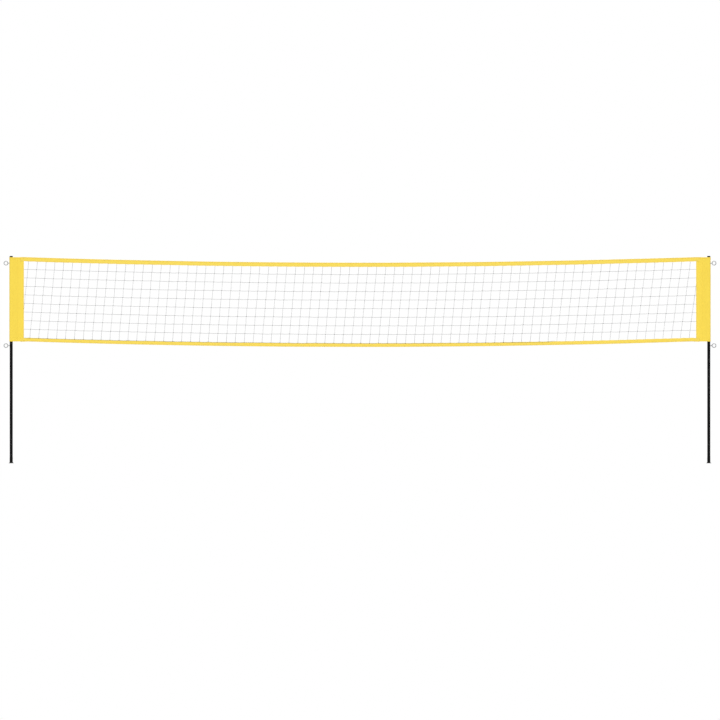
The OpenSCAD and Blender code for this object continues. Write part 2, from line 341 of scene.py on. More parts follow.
def black_twine():
    """Twisted polyethylene twine: black, a little shiny, with the lay of its strands in its bump, and
    painted shade in the grooves between the strands.
    """
    material, tree, shader = finish_material("black_twine", Roughness=0.55, Specular_IOR_Level=0.2)
    m = math_of(tree)
    cos, sin, along = tree.xyz(tree.add("ShaderNodeAttribute", attribute_name="lay", out="Vector"))
    turn = m("MULTIPLY", along, 2 * math.pi / TWINE_LAY)
    # Two strands laid together: the sine of twice the angle round the twine plus the turn along it
    twice_cos = m("SUBTRACT", m("MULTIPLY", cos, cos), m("MULTIPLY", sin, sin))
    twice_sin = m("MULTIPLY", m("MULTIPLY", cos, sin), 2.0)
    lay = m("ADD", m("MULTIPLY", twice_cos, m("SINE", turn)), m("MULTIPLY", twice_sin, m("COSINE", turn)))
    # The root makes round strands and narrow grooves of that even wave
    lay = m("SQRT", m("ADD", m("MULTIPLY", lay, 0.49), 0.51))
    marks = placed_group(tree, MARKS, Cloud=9.0, Grain=1500.0)
    # The base colour is darker where the lay is low: painted shade in the grooves between the strands, mixed
    # with fine grain
    tinted(tree, shader, m("ADD", m("MULTIPLY", lay, 0.6), m("MULTIPLY", marks["Fine"], 0.4)),
           (0.004, 0.004, 0.004), (0.022, 0.022, 0.023), 0.25, 0.8)
    roughened(tree, shader, marks["Fine"], 0.45, 0.65)
    bumped(tree, shader, m("ADD", lay, m("MULTIPLY", marks["Fine"], 0.2)), 0.0006)
    return material


def white_cord():
    """Braided white cord inside the tapes, with painted shade in the grooves of its braid."""
    material, tree, shader = finish_material("white_cord", Roughness=0.7, Specular_IOR_Level=0.3)
    m = math_of(tree)
    place = tree.xyz(tree.add("ShaderNodeUVMap", uv_map="cloth"))
    around = m("MULTIPLY", place[0], BRAID_STRANDS / CORD_R)
    along = m("MULTIPLY", place[1], BRAID_RATE)
    braid = m("MULTIPLY", m("SINE", m("ADD", along, around)), m("SINE", m("SUBTRACT", along, around)))
    marks = placed_group(tree, MARKS, Cloud=12.0, Grain=1200.0)
    # The base colour is darker where the braid is low: painted shade in its grooves, mixed with cloudy marks
    tinted(tree, shader, m("ADD", m("MULTIPLY", braid, 0.3), marks["Cloudy"]), (0.6, 0.58, 0.5),
           (0.82, 0.8, 0.74))
    roughened(tree, shader, marks["Fine"], 0.6, 0.8)
    bumped(tree, shader, m("ADD", braid, marks["Fine"]), 0.0003)
    return material


def yellow_thread():
    """Twisted sewing thread, a shade deeper than the cloth."""
    material, tree, shader = finish_material("yellow_thread", Roughness=0.5, Specular_IOR_Level=0.4)
    marks = placed_group(tree, MARKS, Cloud=40.0, Grain=2500.0)
    tinted(tree, shader, marks["Fine"], (0.62, 0.42, 0.035), (0.88, 0.66, 0.1))
    roughened(tree, shader, marks["Fine"], 0.45, 0.65)
    bumped(tree, shader, marks["Fine"], 0.0001)
    return material


def black_powder_coat():
    """Satin powder coat on steel tube: orange peel, faint rubbed patches."""
    material, tree, shader = finish_material("black_powder_coat", Roughness=0.45, Specular_IOR_Level=0.04)
    m = math_of(tree)
    marks = placed_group(tree, MARKS, Cloud=6.0, Grain=420.0)
    place = tree.add("ShaderNodeTexCoord", out="Object")
    stretched = tree.add("ShaderNodeMapping", place, named={"Scale": (40.0, 40.0, 4.0)})
    scuffs = tree.add("ShaderNodeTexNoise", stretched, named={
        "Scale": 3.0, "Detail": 6.0, "Roughness": 0.7})
    # The paint is rubbed just above and below the two joints of the pole
    high = tree.xyz(place)[2]
    near = m("MINIMUM", m("ABSOLUTE", m("SUBTRACT", high, POLE_TOP / 3)),
             m("ABSOLUTE", m("SUBTRACT", high, POLE_TOP * 2 / 3)))
    rubbed = tree.add("ShaderNodeMapRange", near, 0.0, RUBBED_H, 0.35, 0.0)
    worn = m("MULTIPLY", rubbed, m("MULTIPLY", scuffs, 2.0))
    tone = m("ADD", m("MULTIPLY", scuffs, 0.6), m("MULTIPLY", marks["Cloudy"], 0.4))
    tinted(tree, shader, m("ADD", m("MULTIPLY", tone, 0.8), worn), (0.0045, 0.0045, 0.0048),
           (0.0115, 0.0115, 0.012), 0.3, 0.9)
    roughened(tree, shader, scuffs, 0.38, 0.55)
    bumped(tree, shader, marks["Fine"], 0.00012, 0.5)
    return material


def foot_rubber():
    """Moulded rubber: matt, finely pitted, a little dust low down."""
    material, tree, shader = finish_material("foot_rubber", Roughness=0.75, Specular_IOR_Level=0.08)
    m = math_of(tree)
    high = tree.xyz(tree.add("ShaderNodeTexCoord", out="Object"))[2]
    marks = placed_group(tree, MARKS, Cloud=25.0, Grain=800.0)
    dust = tree.add("ShaderNodeMapRange", high, 0.0, DUST_H, 0.30, 0.0)
    tinted(tree, shader, m("ADD", dust, m("MULTIPLY", marks["Cloudy"], 0.6)), (0.004, 0.004, 0.004),
           (0.022, 0.021, 0.019), 0.25, 0.9)
    roughened(tree, shader, marks["Cloudy"], 0.68, 0.85)
    bumped(tree, shader, marks["Fine"], 0.00025, 0.6)
    return material


def cap_plastic():
    """Moulded black plastic with a fine spark-eroded grain."""
    material, tree, shader = finish_material("cap_plastic", Roughness=0.55, Specular_IOR_Level=0.1)
    marks = placed_group(tree, MARKS, Cloud=30.0, Grain=1300.0)
    tinted(tree, shader, marks["Cloudy"], (0.005, 0.005, 0.005), (0.009, 0.009, 0.0095))
    roughened(tree, shader, marks["Fine"], 0.5, 0.65)
    bumped(tree, shader, marks["Fine"], 0.0002, 0.5)
    return material


def zinc(name, dark, light, rough):
    """Zinc-plated steel wire: soft grey, faintly spangled."""
    material, tree, shader = finish_material(name, Metallic=0.7, Roughness=rough, Specular_IOR_Level=0.4)
    m = math_of(tree)
    place = tree.add("ShaderNodeTexCoord", out="Object")
    spangle = tree.add("ShaderNodeTexVoronoi", place, named={"Scale": 240.0}, out="Color")
    tone = tree.add("ShaderNodeSeparateColor", spangle, out=0)
    marks = placed_group(tree, MARKS, Cloud=60.0, Grain=900.0)
    tinted(tree, shader, m("ADD", m("MULTIPLY", tone, 0.2), m("MULTIPLY", marks["Cloudy"], 0.8)),
           dark, light)
    roughened(tree, shader, marks["Cloudy"], rough - 0.08, rough + 0.1)
    bumped(tree, shader, m("ADD", marks["Fine"], m("MULTIPLY", tone, 0.3)), 0.0001, 0.5)
    return material


YELLOW_BAND = yellow_cloth("yellow_band_cloth", (0.955, 0.725, 0.079), (0.90, 0.655, 0.061))
YELLOW_TAPE = yellow_cloth("yellow_tape_cloth", (0.942, 0.722, 0.106), (0.89, 0.655, 0.082))
TWINE = black_twine()
CORD = white_cord()
THREAD = yellow_thread()
PAINT = black_powder_coat()
RUBBER = foot_rubber()
PLASTIC = cap_plastic()
ZINC = zinc("zinc_wire", (0.32, 0.327, 0.334), (0.48, 0.488, 0.496), 0.42)
PLATED = zinc("plated_rivet", (0.48, 0.46, 0.40), (0.62, 0.60, 0.54), 0.36)
# The zinc of the threads is a lighter copy of the eye bolts' zinc: painted light, making up for the shade
# between the ridges
THREAD_ZINC_PAINTED_LIGHT = zinc("zinc_thread_painted_light", (0.5, 0.508, 0.516), (0.66, 0.668, 0.676), 0.34)

CAD_FINISHES = {
    "foot": RUBBER, "pole_bottom": PAINT, "pole_middle": PAINT, "pole_top": PAINT, "top_cap": PLASTIC,
    "upper_eye_bolt": ZINC, "lower_eye_bolt": ZINC, "thread_inserts": PLATED, "sleeve_eyelet": PLATED,
}


def finish_hard_pieces():
    """Gives the solid pieces that keep their own shape their finishes."""
    for name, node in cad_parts.items():
        for ending, material in CAD_FINISHES.items():
            if name.endswith(ending):
                if not node.material_slots:
                    node.data.materials.append(material)
                for held in node.material_slots:
                    held.material = material


# ---- Folded cloth ----

# A fold sharper than this shows as an edge
SHARP_FOLD = math.radians(55)
# How far a tape's open edge is drawn in at each upright strand, and wanders
EDGE_DRAWN = 0.0009
EDGE_WANDER = 0.0012
# How far a tape's faces belly and ripple, and its fold wanders up and down
FACE_BELLY = 0.0005
FACE_RIPPLE = 0.0004
FOLD_WANDER = 0.0010
TAPE_SECTIONS = 601
CORD_SECTIONS = 121
# Where a tape has more sections, by the distance past the end of a side band
LAP_SECTIONS = (-0.006, -0.003, 0.0, 0.002, 0.006, 0.010, 0.014, 0.018, 0.026)


def lofted(name, stations, lengths, material):
    """A closed strip of cloth. Each station is one section: the outer line out, then the inner line back.
    Every section is closed at the two ends, and the UV map is in metres along the section and the strip."""
    count, around = len(stations), len(stations[0])
    points = np.array(stations).reshape(-1, 3)
    half = around // 2
    faces, uvs = [], []
    middle = np.array(stations[count // 2])
    steps = np.linalg.norm(np.roll(middle, -1, axis=0) - middle, axis=1)
    place = np.concatenate([[0.0], np.cumsum(steps)])
    for i in range(count - 1):
        for j in range(around):
            k = (j + 1) % around
            faces.append((i * around + j, (i + 1) * around + j, (i + 1) * around + k, i * around + k))
            uvs += [(place[j], lengths[i]), (place[j], lengths[i + 1]),
                    (place[j + 1], lengths[i + 1]), (place[j + 1], lengths[i])]
    for i, turn in ((0, 1), (count - 1, -1)):
        for j in range(half - 1):
            loop = [j, j + 1, around - 2 - j, around - 1 - j][::turn]
            faces.append(tuple(i * around + p for p in loop))
            uvs += [(place[p], lengths[i]) for p in loop]
    mesh = bpy.data.meshes.new(name)
    mesh.from_pydata(points.tolist(), [], faces)
    layer = mesh.uv_layers.new(name="cloth")
    layer.data.foreach_set("uv", np.array(uvs, dtype=np.float32).ravel())
    mesh.materials.append(material)
    mesh.update()
    outward(mesh)
    mesh.shade_smooth()
    mesh.set_sharp_from_angle(angle=SHARP_FOLD)
    return placed(name, mesh)


def outward(mesh):
    """Turns the mesh right side out if its volume came out negative."""
    points = np.empty(len(mesh.vertices) * 3)
    mesh.vertices.foreach_get("co", points)
    points = points.reshape(-1, 3)
    mesh.calc_loop_triangles()
    corners = np.empty(len(mesh.loop_triangles) * 3, dtype=np.int32)
    mesh.loop_triangles.foreach_get("vertices", corners)
    a, b, c = (points[corners[i::3]] for i in range(3))
    if (a * np.cross(b, c)).sum() < 0:
        mesh.flip_normals()


def thickened(line, thickness):
    """The outer line out and the inner line back, for a cloth whose middle is the line of (p, q) points."""
    line = np.array(line)
    along = np.gradient(line, axis=0)
    along /= np.linalg.norm(along, axis=1)[:, None]
    normal = np.stack([-along[:, 1], along[:, 0]], axis=1) * thickness / 2
    return np.concatenate([line + normal, (line - normal)[::-1]])


def ripple(x, z, seed):
    """Smooth noise from -1 to 1."""
    return noise.noise(Vector((x, seed * 17.3, z)))


def tape_line(height, x, seed):
    """Middle line of a folded tape's section at one place: up the front, over the cord, down the back."""
    wall = NET_GAP + CLOTH / 2 + lap(x)
    bead = BEAD_R + CLOTH / 2
    centre = -bead - CLOTH / 2
    neck = math.asin(wall / bead)
    drawn = EDGE_DRAWN * math.cos(2 * math.pi * (x - NET_FIRST_X) / NET_PITCH)
    mouth = -height + drawn + EDGE_WANDER * ripple(x * 3, 0, seed)
    top = centre - bead * math.cos(neck)

    def face(side):
        """One face of the tape, from its open edge up to the bead."""
        run = []
        for t in np.linspace(0, 1, 7)[:-1]:
            belly = FACE_BELLY * math.sin(math.pi * t) * (1 + ripple(x * 9, side * 3 + t, seed + 1))
            out = wall + belly + FACE_RIPPLE * ripple(x * 14, side + t * 2, seed + 2)
            run.append((side * out, mouth + (top - mouth) * t))
        return run

    turns = np.linspace(-math.pi / 2 - neck, -2.5 * math.pi + neck, 19)
    fold = [(bead * math.cos(a), centre + bead * math.sin(a)) for a in turns]
    return face(-1) + fold + face(1)[::-1]


def folded_tape(name, node, height, bottom=False):
    """A tape folded over the edge of the netting and over its cord, hanging from band to band, and the
    width and length that it was cut to."""
    end = OPEN_HALF + TAPE_LAP
    at_laps = [side * (OPEN_HALF + past) for side in (-1, 1) for past in LAP_SECTIONS]
    xs = np.unique(np.concatenate([np.linspace(-end, end, TAPE_SECTIONS), at_laps]))
    lengths = np.concatenate([[0.0], np.cumsum(np.hypot(np.diff(xs), np.diff([drop(x) for x in xs])))])
    seed, up = (5, -1) if bottom else (2, 1)
    stations = []
    for x in xs:
        section = thickened(tape_line(height, x, seed), CLOTH)
        edge = tape_edge(x, bottom) + FOLD_WANDER * ripple(x * 1.6, 4, seed)
        stations.append([(x, y, edge + up * rise) for y, rise in section])
    tape = lofted(name, stations, lengths, YELLOW_TAPE)
    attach(tape, NET_BODY)
    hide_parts(node)
    return tape, len_of(tape_line(height, 0.0, 1)), lengths[-1]


def len_of(line):
    """The length of a line of points."""
    line = np.array(line)
    return float(np.linalg.norm(np.diff(line, axis=0), axis=1).sum())


def hem_cord(name, node, bottom=False):
    """Cord lying in the fold of a tape."""
    xs = np.linspace(-OPEN_HALF, OPEN_HALF, CORD_SECTIONS)
    turns = np.linspace(0, 2 * math.pi, 12, endpoint=False)
    ring = [(CORD_R * math.cos(a), CORD_R * math.sin(a)) for a in turns]
    inward = (BEAD_R + CLOTH) * (1 if bottom else -1)
    stations = [[(x, y, tape_edge(x, bottom) + inward + rise) for y, rise in ring] for x in xs]
    cord = lofted(name, stations, xs + OPEN_HALF, CORD)
    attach(cord, NET_BODY)
    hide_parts(node)


# ---- Side bands ----

# Gap between the two layers where they are sewn together
LAYER_GAP = 0.0002
# Height of a band's hems, how far they stand out, and where they are sewn
HEM_H = 0.020
HEM_OUT = 0.0007
HEM_SEAM = 0.0165
# The cloth of a band waves in by no more than this, and hardly waves at this height from its ends
WAVE_IN = 0.0003
UNDER_TAPE_H = 0.06
BAND_SECTIONS = 81
# Sections just before and after the step of a hem, as shares of the band's height
HEM_SECTIONS = (0.0201, 0.0208, 0.9792, 0.9799)
# Where the punch for the eyelet's hole starts and ends, past the axis of the pole
PUNCH_FROM = 0.010
PUNCH_TO = 0.030


def band_wave(x, y, z, side, face):
    """How far the cloth of a side band stands out at one place: the step of a hem, and soft waves that
    fade towards the netting and the sleeve's seam."""
    from_end = min(z - NET_LOW, NET_TOP - z)
    hem = HEM_OUT if from_end < HEM_H else 0.0
    tall = 0.0007 * ripple(x * 28, z * 2.2, side * 5 + face)
    short = 0.0005 * ripple(x * 12, z * 14, face)
    off_netting = min(1.0, max(0.0, (MOUTH_X - x) / 0.02))
    off_seam = 0.35 + 0.65 * min(1.0, y / 0.012)
    free = off_netting * off_seam
    if x > BAND_IN - TAPE_LAP - 0.01 and from_end < UNDER_TAPE_H:
        free *= 0.2
    return hem + max(-WAVE_IN, (tall + short) * 1.6) * free


def band_line(z, side):
    """Middle line of a side band's section at one height, from mouth to mouth round the pole."""
    sleeve = SLEEVE_R - CLOTH / 2
    gripping = NET_GAP + CLOTH / 2
    flat = CLOTH / 2 + LAYER_GAP / 2
    lean = math.acos((sleeve - flat) / SEAM_X)
    half = [(BAND_IN, gripping), (MOUTH_X + 0.002, gripping), (MOUTH_X - 0.004, flat + 0.0003)]
    half += [(x, flat) for x in np.linspace(MOUTH_X - 0.010, SEAM_X, 9)]
    start = (sleeve * math.cos(lean), sleeve * math.sin(lean))
    for t in np.linspace(0.15, 0.85, 5):
        half.append((SEAM_X + (start[0] - SEAM_X) * t, flat + (start[1] - flat) * t))
    half += [(sleeve * math.cos(a), sleeve * math.sin(a)) for a in np.linspace(lean, math.pi, 17)]
    line = []
    for face, points in ((1, half), (-1, half[:-1][::-1])):
        for x, y in points:
            out = band_wave(x, y, z, side, face)
            spread = 1 + out / math.hypot(x, y)
            if x < 0:
                line.append((x * spread, face * y * spread))
            else:
                line.append((x, face * (y + out)))
    return line


def side_band(name, node, side):
    """A side band: one length of cloth that goes round the pole and is sewn to itself and to the netting,
    and the width that it was cut to."""
    shares = np.concatenate([np.linspace(0, 1, BAND_SECTIONS), HEM_SECTIONS])
    stations, lengths = [], []
    for t in sorted(set(np.round(shares, 5))):
        z = NET_LOW + (NET_TOP - NET_LOW) * t
        section = thickened(band_line(z, side), CLOTH)
        stations.append([(side * (POLE_X - x), y, z) for x, y in section])
        lengths.append(z - NET_LOW)
    band = lofted(name, stations, lengths, YELLOW_BAND)
    cut_eyelet_hole(band, side)
    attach(band, NET_BODY)
    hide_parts(node)
    return band, len_of(band_line(NET_LOW + 0.5, side))


def cut_eyelet_hole(band, side):
    """Opens the outer wall of the sleeve where the eye bolt comes through."""
    mesh = bpy.data.meshes.new("eyelet_punch")
    turns = np.linspace(0, 2 * math.pi, 32, endpoint=False)
    points = [(side * (POLE_X + past), EYELET_R * math.cos(a), UPPER_EYE_Z + EYELET_R * math.sin(a))
              for past in (PUNCH_FROM, PUNCH_TO) for a in turns]
    n = len(turns)
    faces = [(i, (i + 1) % n, n + (i + 1) % n, n + i) for i in range(n)]
    faces += [tuple(range(n))[::-1], tuple(range(n, 2 * n))]
    mesh.from_pydata(points, [], faces)
    outward(mesh)
    punch = placed("eyelet_punch", mesh)
    cut = band.modifiers.new("hole", "BOOLEAN")
    cut.operation = "DIFFERENCE"
    cut.object = punch
    cut.solver = "EXACT"
    made = evaluated_mesh(band)
    band.modifiers.remove(cut)
    band.data = made
    bpy.data.objects.remove(punch)


# ---- Netting ----

# Whole numbers are compared, and rounded down, with this much to spare
SPARE = 0.1
# Points of a level strand in one pitch
PER_PITCH = 5.0
# The twine wrapped round a knot: how wide at its two ends, in radii of the twine, how long as a share of
# the knot, how far it leans over, and how far it may be turned about each axis
WRAP_ENDS = (1.5, 1.3)
WRAP_LONG = 0.55
WRAP_TILT = math.radians(80)
WRAP_TURN = (3.1, 0.3, 0.3)


def lattice(tree, wide, deep, lines_along_x=True):
    """Rows of points at whole numbers from 0 along X and Y, joined into lines one way."""
    def row(count, step):
        return tree.add("GeometryNodeMeshLine", named={"Count": count, "Offset": step})

    along_x, along_y = row(wide, (1.0, 0.0, 0.0)), row(deep, (0.0, 1.0, 0.0))
    heads, line = (along_y, along_x) if lines_along_x else (along_x, along_y)
    return tree.add("GeometryNodeRealizeInstances",
                    tree.add("GeometryNodeInstanceOnPoints", heads, named={"Instance": line}))


def netting_tree(inputs):
    """Knotted netting: upright strands that step sideways at each knot, level strands, and the knots."""
    tree, given = new_tree("knotted_netting", inputs)
    m = math_of(tree)
    rows, columns = given["Rows"], given["Columns"]

    def chance(k, line, low, high, seed):
        """A random number of knot k's own, from low to high."""
        name = m("ADD", m("MULTIPLY", k, 41.0), m("MULTIPLY", line, 3571.0))
        return tree.add("FunctionNodeRandomValue", low, high, name, m("ADD", given["Seed"], seed),
                        data_type="FLOAT")

    def position():
        """X, Y and Z of each point of the grid."""
        return tree.xyz(tree.add("GeometryNodeInputPosition"))

    def cubic(u, terms):
        """A polynomial in u, lowest term first."""
        total = terms[-1]
        for term in terms[-2::-1]:
            total = m("ADD", m("MULTIPLY", u, total), term)
        return total

    def lowest(line):
        """1 on the last level line, which lies on the front of the bottom tape, and 0 on the others."""
        return m("COMPARE", line, m("SUBTRACT", rows, 1.0), SPARE)

    def at(x, k, line, level, front=1.0):
        """The place of a point near knot k of a level line, counted from the tape's edge."""
        wide = m("MINIMUM", m("MAXIMUM", x, m("MULTIPLY", given["Edge"], -1.0)), given["Edge"])
        out = m("MINIMUM", m("DIVIDE", m("ABSOLUTE", wide), given["Open"]), 1.0)
        hang = m("SUBTRACT", 1.0, m("POWER", out, 2.0))
        tucked = m("MULTIPLY", m("COMPARE", line, rows, SPARE), given["Tuck"])
        rows_down = m("SUBTRACT", line, 1.0)
        deep = m("ADD", m("ADD", given["First"], m("MULTIPLY", rows_down, given["Row"])), tucked)
        sway = tree.add("ShaderNodeTexNoise", tree.add("ShaderNodeCombineXYZ", k, line, given["Seed"]),
                        named={"Scale": 0.35, "Detail": 1.0})
        drift = m("MULTIPLY", m("SUBTRACT", sway, 0.5), given["Sway"])
        z = m("SUBTRACT", m("ADD", given["Top"], drift), m("ADD", deep, m("MULTIPLY", given["Sag"], hang)))
        slip = m("MULTIPLY", rows_down, cubic(m("DIVIDE", wide, given["Open"]), NET_SLIP))
        z = m("SUBTRACT", z, slip)
        z = m("ADD", z, m("ADD", level, chance(k, line, -STRAY_Z, STRAY_Z, 3)))
        into = tree.add("ShaderNodeMapRange", wide, NET_TUCKED_X - NET_PITCH, NET_TUCKED_X, 0.0, 1.0)
        climb = m("MINIMUM", m("DIVIDE", into, CLIMB_PEAK),
                  m("DIVIDE", m("SUBTRACT", 1.0, into), 1 - CLIMB_PEAK))
        settled = m("SUBTRACT", given["Settle"], m("MULTIPLY", given["Climb"], climb))
        z = m("SUBTRACT", z, m("MULTIPLY", lowest(line), settled))
        from_band = m("SUBTRACT", given["Edge"], m("ABSOLUTE", wide))
        free = m("MINIMUM", m("DIVIDE", from_band, FORWARD_RUN), 1.0)
        forward = tree.add("ShaderNodeMapRange", into, *CLIMB_BACK, given["Forward"], 0.0)
        lapped = m("MULTIPLY", m("MULTIPLY", lowest(line), front), m("MULTIPLY", free, forward))
        y = m("SUBTRACT", chance(k, line, -STRAY_Y, STRAY_Y, 5), lapped)
        return tree.add("ShaderNodeCombineXYZ", wide, y, z)

    def knot_x(k, line):
        """Where the middle of knot k lies on a level line."""
        middle = m("SUBTRACT", given["Middle"], line)
        x = m("ADD", given["Start"], m("MULTIPLY", given["Pitch"], k))
        x = m("ADD", x, m("MULTIPLY", middle, given["Lean"]))
        u, v = m("DIVIDE", x, given["Open"]), m("DIVIDE", middle, -HALF_ROWS)
        shift = m("ADD", cubic(u, PULL_MIDDLE), m("MULTIPLY", v, cubic(u, PULL_DOWN)))
        return m("ADD", x, m("ADD", shift, chance(k, line, -STRAY_X, STRAY_X, 1)))

    def kept(curve, field, kind):
        """The curve, and a field of it that stays readable on the mesh that is made from it."""
        node = tree.tree.nodes.new("GeometryNodeCaptureAttribute")
        node.capture_items.new(kind, "kept")
        tree.tree.links.new(curve, node.inputs["Geometry"])
        tree.tree.links.new(field, node.inputs["kept"])
        return node.outputs["Geometry"], node.outputs["kept"]

    def laid(curve, radius, sides):
        """A tube along a curve. Its attribute "lay" is the direction round the tube and the way along it."""
        profile = tree.add("GeometryNodeCurvePrimitiveCircle", named={
            "Resolution": sides, "Radius": radius})
        profile, round_it = kept(profile, tree.add("GeometryNodeInputPosition"), "VECTOR")
        curve, along = kept(curve, tree.add("GeometryNodeSplineParameter", out="Length"), "FLOAT")
        skin = tree.add("GeometryNodeCurveToMesh", curve, profile, named={"Fill Caps": True})
        cos, sin = (m("DIVIDE", part, radius) for part in tree.xyz(round_it)[:2])
        lay = tree.add("ShaderNodeCombineXYZ", cos, sin, along)
        return tree.add("GeometryNodeStoreNamedAttribute", data_type="FLOAT_VECTOR", domain="POINT",
                        named={"Geometry": skin, "Name": "lay", "Value": lay})

    def strands(path, scale):
        """Twine along the edges of a mesh. Points that fell together at the bands are made one."""
        joined = tree.add("GeometryNodeMergeByDistance", path, mode="CONNECTED", named={"Distance": 0.0002})
        return laid(tree.add("GeometryNodeMeshToCurve", joined), m("MULTIPLY", given["Twine"], scale), 6)

    # Upright strands: two points in each row, just below one knot and just above the next
    grid = lattice(tree, columns, m("MULTIPLY", rows, 2.0), lines_along_x=False)
    k, j = position()[:2]
    row = m("FLOOR", m("DIVIDE", m("ADD", j, SPARE), 2.0))
    low = m("SUBTRACT", j, m("MULTIPLY", row, 2.0))
    line = m("ADD", row, low)
    step = m("MULTIPLY", m("SUBTRACT", low, 0.5), m("MULTIPLY", given["Lean"], given["Step"]))
    place = at(m("ADD", knot_x(k, line), step), k, line, 0.0, low)
    upright = tree.add("GeometryNodeSetPosition", grid, None, place)

    # Level strands: left of a knot, right of it, and three places on the slack curve to the next
    grid = lattice(tree, m("MULTIPLY", columns, PER_PITCH), m("SUBTRACT", rows, 1.0))
    i, j = position()[:2]
    line = m("ADD", j, 1.0)
    k = m("FLOOR", m("DIVIDE", m("ADD", i, SPARE), PER_PITCH))
    part = m("SUBTRACT", i, m("MULTIPLY", k, PER_PITCH))
    way = m("DIVIDE", m("MAXIMUM", m("SUBTRACT", part, 1.0), 0.0), PER_PITCH - 1)
    side = m("SUBTRACT", m("MULTIPLY", m("MINIMUM", part, 1.0), 2.0), 1.0)
    by_knot = m("MULTIPLY", side, m("LESS_THAN", way, SPARE))
    beside = m("MULTIPLY", by_knot, m("MULTIPLY", given["Knot"], 0.5))
    this_knot, next_knot = knot_x(k, line), knot_x(m("ADD", k, 1.0), line)
    x = m("ADD", this_knot, beside)
    x = m("ADD", x, m("MULTIPLY", way, m("SUBTRACT", next_knot, this_knot)))
    slack = m("MULTIPLY", m("MULTIPLY", way, m("SUBTRACT", 1.0, way)), 4.0)
    sunk = m("MULTIPLY", slack, chance(k, line, *SLACK, 9))
    place = tree.add("ShaderNodeMix", way, at(x, k, line, sunk), at(x, m("ADD", k, 1.0), line, sunk),
                     data_type="VECTOR")
    level = tree.add("GeometryNodeSetPosition", grid, None, place)

    # Knots: two turns of twine round every crossing
    spots = tree.add("GeometryNodeMeshToPoints", lattice(tree, columns, m("SUBTRACT", rows, 1.0)))
    k, j = position()[:2]
    line = m("ADD", j, 1.0)
    in_tape = m("GREATER_THAN", m("MULTIPLY", lowest(line), knot_x(k, line)), NET_TUCKED_X - NET_PITCH / 2)
    spots, in_tape = kept(spots, in_tape, "FLOAT")
    spots = tree.add("GeometryNodeSetPosition", spots, None, at(knot_x(k, line), k, line, 0.0))
    inside = m("LESS_THAN", m("ABSOLUTE", position()[0]), given["Edge"])
    spiral = tree.add("GeometryNodeCurveSpiral", named={
        "Resolution": 7, "Rotations": 2.0, "Height": m("MULTIPLY", given["Knot"], WRAP_LONG),
        "Start Radius": m("MULTIPLY", given["Twine"], WRAP_ENDS[0]),
        "End Radius": m("MULTIPLY", given["Twine"], WRAP_ENDS[1])})
    half_down = tree.add("ShaderNodeCombineXYZ", 0.0, 0.0, m("MULTIPLY", given["Knot"], -WRAP_LONG / 2))
    centred = tree.add("GeometryNodeTransform", spiral, named={"Translation": half_down})
    tilted = tree.add("GeometryNodeTransform", centred, named={"Rotation": (0.0, WRAP_TILT, 0.0)})
    wrap = laid(tilted, m("MULTIPLY", given["Twine"], 1.05), 4)
    turn = tree.add("FunctionNodeRandomValue", [-most for most in WRAP_TURN], WRAP_TURN,
                    data_type="FLOAT_VECTOR", named={"Seed": given["Seed"]})
    knots = tree.add("GeometryNodeInstanceOnPoints", spots, named={
        "Selection": m("GREATER_THAN", inside, in_tape), "Instance": wrap, "Rotation": turn})

    joined = tree.add("GeometryNodeJoinGeometry", out=None)
    for part in (knots, strands(level, given["Level Scale"]), strands(upright, given["Upright Scale"])):
        tree.tree.links.new(part, joined.inputs[0])
    finish_tree(tree, joined.outputs[0], TWINE)
    return tree


def knotted_netting():
    """The netting, in one piece from band to band."""
    # Step is the share of the lean that an upright strand takes at a knot, and Tuck shortens the last row to
    # end in the fold. Settle, Forward and Climb bring the last level line on to the tape and over its edge.
    inputs = {
        "Rows": NET_ROWS, "Columns": NET_COLUMNS, "Seed": 3, "Start": NET_FIRST_X - NET_PITCH,
        "Pitch": NET_PITCH, "First": NET_FIRST_Z, "Row": NET_ROW_H, "Lean": NET_LEAN, "Middle": NET_MIDDLE,
        "Step": 0.25, "Top": NET_TOP, "Sag": NET_SAG, "Open": OPEN_HALF, "Edge": OPEN_HALF + 0.008,
        "Tuck": -0.078, "Sway": 0.006, "Twine": TWINE_R, "Knot": 0.0085, "Settle": 0.0034,
        "Forward": 0.0031, "Climb": 0.0130, "Level Scale": 0.84, "Upright Scale": 1.09,
    }
    netting = grown("knotted_netting", bpy.data.meshes.new("start"), netting_tree(inputs), inputs)
    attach(netting, NET_BODY)
    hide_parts("net_mesh")


# ---- Stitches ----

STITCH = {"Pitch": 0.0065, "Length": 0.0046, "Thread": 0.00045}
# A stitch is pinched beyond this share of its length from its middle, to this much of its width
PINCH_FROM = 0.3
PINCH_TO = (0.35, 0.35, 1.0)
# How far the thread's middle lies off the cloth
THREAD_OUT = 0.0006
# How far in from its edges a tape is sewn: at its fold, at its open edge, and at its ends
FOLD_SEAM = 0.0125
OPEN_SEAM = 0.005
END_SEAM = 0.004


def stitch_tree(inputs):
    """Short stitches of thread along the edges of a mesh."""
    tree, given = new_tree("stitching", inputs)
    m = math_of(tree)
    curve = tree.add("GeometryNodeMeshToCurve", given["Geometry"])
    spaced = tree.add("GeometryNodeResampleCurve", curve, mode="LENGTH", named={"Length": given["Pitch"]})
    tangent = tree.add("GeometryNodeInputTangent")
    facing = tree.add("FunctionNodeAlignRotationToVector", None, None, tangent, axis="Z")
    body = tree.add("GeometryNodeMeshCylinder", named={
        "Vertices": 4, "Side Segments": 2, "Radius": given["Thread"], "Depth": given["Length"]})
    place = tree.add("GeometryNodeInputPosition")
    height = m("ABSOLUTE", tree.xyz(place)[2])
    end = m("GREATER_THAN", height, m("MULTIPLY", given["Length"], PINCH_FROM))
    narrow = tree.add("ShaderNodeVectorMath", place, PINCH_TO, operation="MULTIPLY")
    pinched = tree.add("GeometryNodeSetPosition", body, end, narrow)
    sewn = tree.add("GeometryNodeInstanceOnPoints", spaced, named={"Instance": pinched, "Rotation": facing})
    finish_tree(tree, sewn, THREAD)
    return tree


STITCHING = stitch_tree(STITCH)


